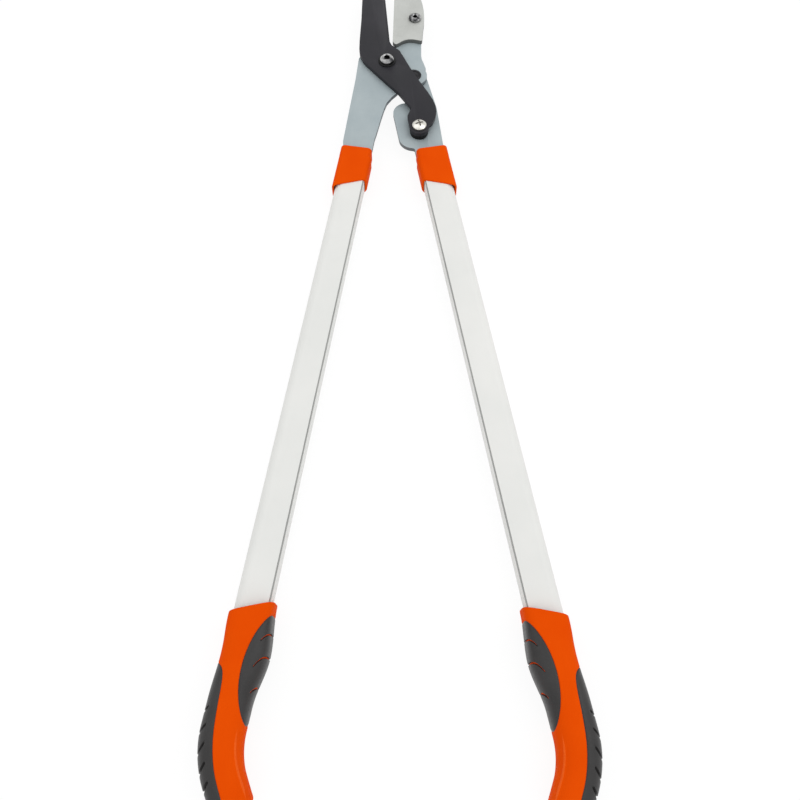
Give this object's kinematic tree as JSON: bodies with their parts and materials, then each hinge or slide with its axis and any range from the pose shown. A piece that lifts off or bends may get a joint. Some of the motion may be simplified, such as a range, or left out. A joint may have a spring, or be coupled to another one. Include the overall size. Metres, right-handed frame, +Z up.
{
  "type": "anvil lopper",
  "caption": "Long handled anvil lopper: blade and lever on a main pivot, driven through a slotted plate by the right handle, with an anvil jaw, D-section tubes and two-component grips.",
  "frame": {"origin": "under the middle of the whole tool's box, on the surface that it lies on", "axes": "+Y towards the blade's tip, +X to the right seen from the front, +Z up towards the front of the tool"},
  "size_m": [0.2672, 0.8014, 0.031],
  "materials": {
    "painted_plate": "smooth light blue-grey powder coat on steel plate",
    "coated_blade": "matt black non-stick coating on steel, ground edge",
    "cast_anvil": "fine blasted cast metal",
    "dark_screw": "dark oiled steel button heads",
    "blackened_steel": "blackened steel",
    "plated_steel": "bright zinc plate",
    "black_nylon": "black nylon",
    "tube_aluminium": "pale satin anodised extrusion",
    "orange_plastic": "satin moulded orange plastic",
    "grip_rubber": "soft dark grey overmoulded rubber"
  },
  "bodies": {
    "anvil_handle": {"anvil_plate": "painted_plate", "anvil": "cast_anvil", "anvil_screw": "dark_screw", "anvil_nut": "plated_steel", "main_pivot_bolt": "dark_screw", "main_pivot_washer": "blackened_steel", "main_pivot_sleeve": "plated_steel", "main_pivot_shim": "plated_steel", "main_pivot_back_washer": "plated_steel", "main_pivot_nut": "plated_steel", "handle_pivot_bolt": "blackened_steel", "handle_pivot_shim": "plated_steel", "handle_pivot_washer": "plated_steel", "handle_pivot_nut": "plated_steel", "left_collar": "orange_plastic", "left_tube": "tube_aluminium", "left_tang_insert": "black_nylon", "left_tang_rivets": "plated_steel", "left_grip_body": "orange_plastic", "left_grip_inner_pad": "grip_rubber", "left_grip_outer_pad": "grip_rubber"},
    "blade": {"blade_lever": "coated_blade", "slide_screw": "plated_steel", "slide_bush": "black_nylon", "slide_washer": "plated_steel", "slide_nut": "plated_steel"},
    "lever_handle": {"lever_plate": "painted_plate", "right_collar": "orange_plastic", "right_tube": "tube_aluminium", "right_tang_insert": "black_nylon", "right_tang_rivets": "plated_steel", "right_grip_body": "orange_plastic", "right_grip_inner_pad": "grip_rubber", "right_grip_outer_pad": "grip_rubber"}
  },
  "joints": [
    {"name": "handle_pivot", "type": "hinge", "parent": "anvil_handle", "child": "lever_handle", "pos_m": [0.01265, 0.2579, 0.0155], "axis": [0, 0, 1], "range_deg": [-7.8, 42.2]},
    {"name": "blade_pivot", "type": "hinge", "parent": "anvil_handle", "child": "blade", "pos_m": [-0.01375, 0.2724, 0.0225], "axis": [0, 0, 1], "range_deg": [-5.93, 32.08]}
  ],
  "couplings": [
    {"joint": "blade_pivot", "follows": "handle_pivot", "ratio": 0.76}
  ]
}
